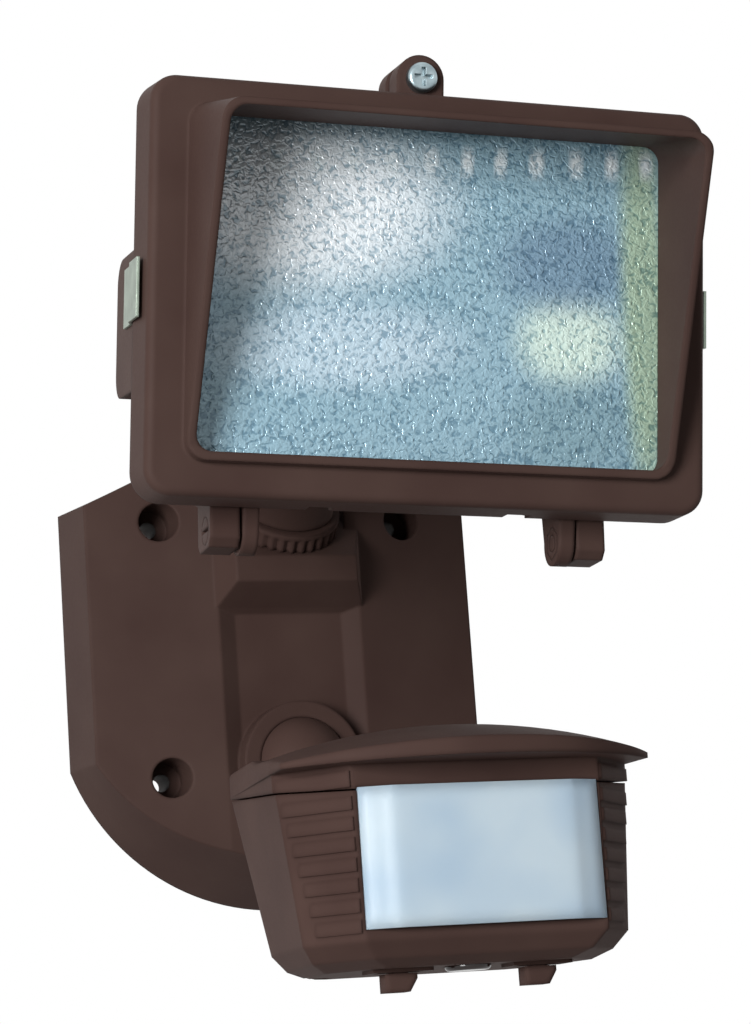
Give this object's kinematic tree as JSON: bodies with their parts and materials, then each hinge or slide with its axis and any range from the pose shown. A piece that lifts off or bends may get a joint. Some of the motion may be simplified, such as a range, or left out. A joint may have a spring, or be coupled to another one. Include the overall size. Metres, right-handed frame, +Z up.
{
  "type": "motion sensor security light",
  "caption": "Wall-mounted outdoor floodlight: a hooded glazed lamp head on a swivelling yoke, with a motion sensor on a ball-jointed arm below it.",
  "frame": {"origin": "middle of the four wall screw holes, on the wall plane at the back of the base", "axes": "+X to the right as seen by someone facing the wall, +Y into the wall, +Z up; the lamp and the sensor reach out along -Y"},
  "size_m": [0.1397, 0.2072, 0.2173],
  "materials": {
    "bronze_paint": "fine satin dark bronze powder coat",
    "bronze_plastic": "fine-grained dark bronze moulded plastic",
    "zinc_steel": "dull zinc plate",
    "spring_steel": "plated spring steel",
    "seal_rubber": "soft black seal",
    "toughened_glass": "clear with a stippled inner face",
    "quartz_glass": "clear quartz",
    "bright_aluminium": "hammered bright reflector sheet",
    "lamp_ceramic": "unglazed white steatite",
    "lens_plastic": "milky translucent lens sheet",
    "board_laminate": "green laminate",
    "nickel_can": "nickel-plated can",
    "component_plastic": "moulded component case",
    "smoked_plastic": "dark translucent window"
  },
  "bodies": {
    "base": {"wall_base": "bronze_paint", "wall_gasket": "seal_rubber", "ball_retainer": "zinc_steel", "retainer_screws": "zinc_steel"},
    "ring": {"lock_ring": "bronze_paint"},
    "yoke_body": {"yoke": "bronze_paint", "swivel_stem": "zinc_steel", "pivot_screws": "bronze_paint"},
    "housing": {"rear_housing": "bronze_paint", "housing_gasket": "seal_rubber", "reflector": "bright_aluminium", "lampholders": "lamp_ceramic", "halogen_tube": "quartz_glass", "tube_caps": "lamp_ceramic", "side_clips": "spring_steel", "pivot_nuts": "zinc_steel"},
    "front": {"front_frame": "bronze_paint", "glass_gasket": "seal_rubber", "glass_pane": "toughened_glass", "glass_retainers": "spring_steel", "hinge_pins": "zinc_steel"},
    "screw": {"top_screw": "zinc_steel"},
    "cup": {"ball_cup": "zinc_steel"},
    "sensor": {"sensor_arm": "bronze_plastic", "sensor_body": "bronze_plastic", "sensor_cover": "bronze_plastic", "sensor_lens": "lens_plastic", "arm_nut": "zinc_steel", "circuit_board": "board_laminate", "detector": "nickel_can", "relay": "component_plastic", "capacitor": "component_plastic", "photocell_window": "smoked_plastic", "cover_screws": "zinc_steel"},
    "range_knob": {"range_slider": "bronze_plastic"},
    "time_knob": {"time_slider": "bronze_plastic"}
  },
  "joints": [
    {"name": "lock_ring_turn", "type": "hinge", "parent": "base", "child": "ring", "pos_m": [0, -0.0251, 0.0341], "axis": [0, -0.7071, 0.7071], "continuous": true},
    {"name": "head_swivel", "type": "hinge", "parent": "base", "child": "yoke_body", "pos_m": [0, -0.0251, 0.0341], "axis": [0, -0.7071, 0.7071], "range_deg": [-26, 34]},
    {"name": "head_tilt", "type": "hinge", "parent": "yoke_body", "child": "housing", "pos_m": [-0.00713, -0.14182, 0.00668], "axis": [0.9976, -0.0493, -0.0493], "range_deg": [-10, 28]},
    {"name": "front_opening", "type": "hinge", "parent": "housing", "child": "front", "pos_m": [-0.00725, -0.15113, 0.0136], "axis": [0.9976, -0.0493, -0.0493], "range_deg": [0, 50]},
    {"name": "top_screw_turn", "type": "hinge", "parent": "front", "child": "screw", "pos_m": [-0.00588, -0.17166, 0.11044], "axis": [0.055, 0.9912, 0.1205], "continuous": true},
    {"name": "sensor_pan", "type": "hinge", "parent": "base", "child": "cup", "pos_m": [0, -0.0277, -0.0325], "axis": [0, 0, 1], "range_deg": [-25, 25]},
    {"name": "sensor_tilt", "type": "hinge", "parent": "cup", "child": "sensor", "pos_m": [0, -0.0277, -0.0325], "axis": [1, 0, 0], "range_deg": [-8, 12]},
    {"name": "range_slide", "type": "slide", "parent": "sensor", "child": "range_knob", "axis": [1, 0, 0], "range_m": [-0.003, 0.003]},
    {"name": "time_slide", "type": "slide", "parent": "sensor", "child": "time_knob", "axis": [1, 0, 0], "range_m": [-0.003, 0.003]}
  ]
}
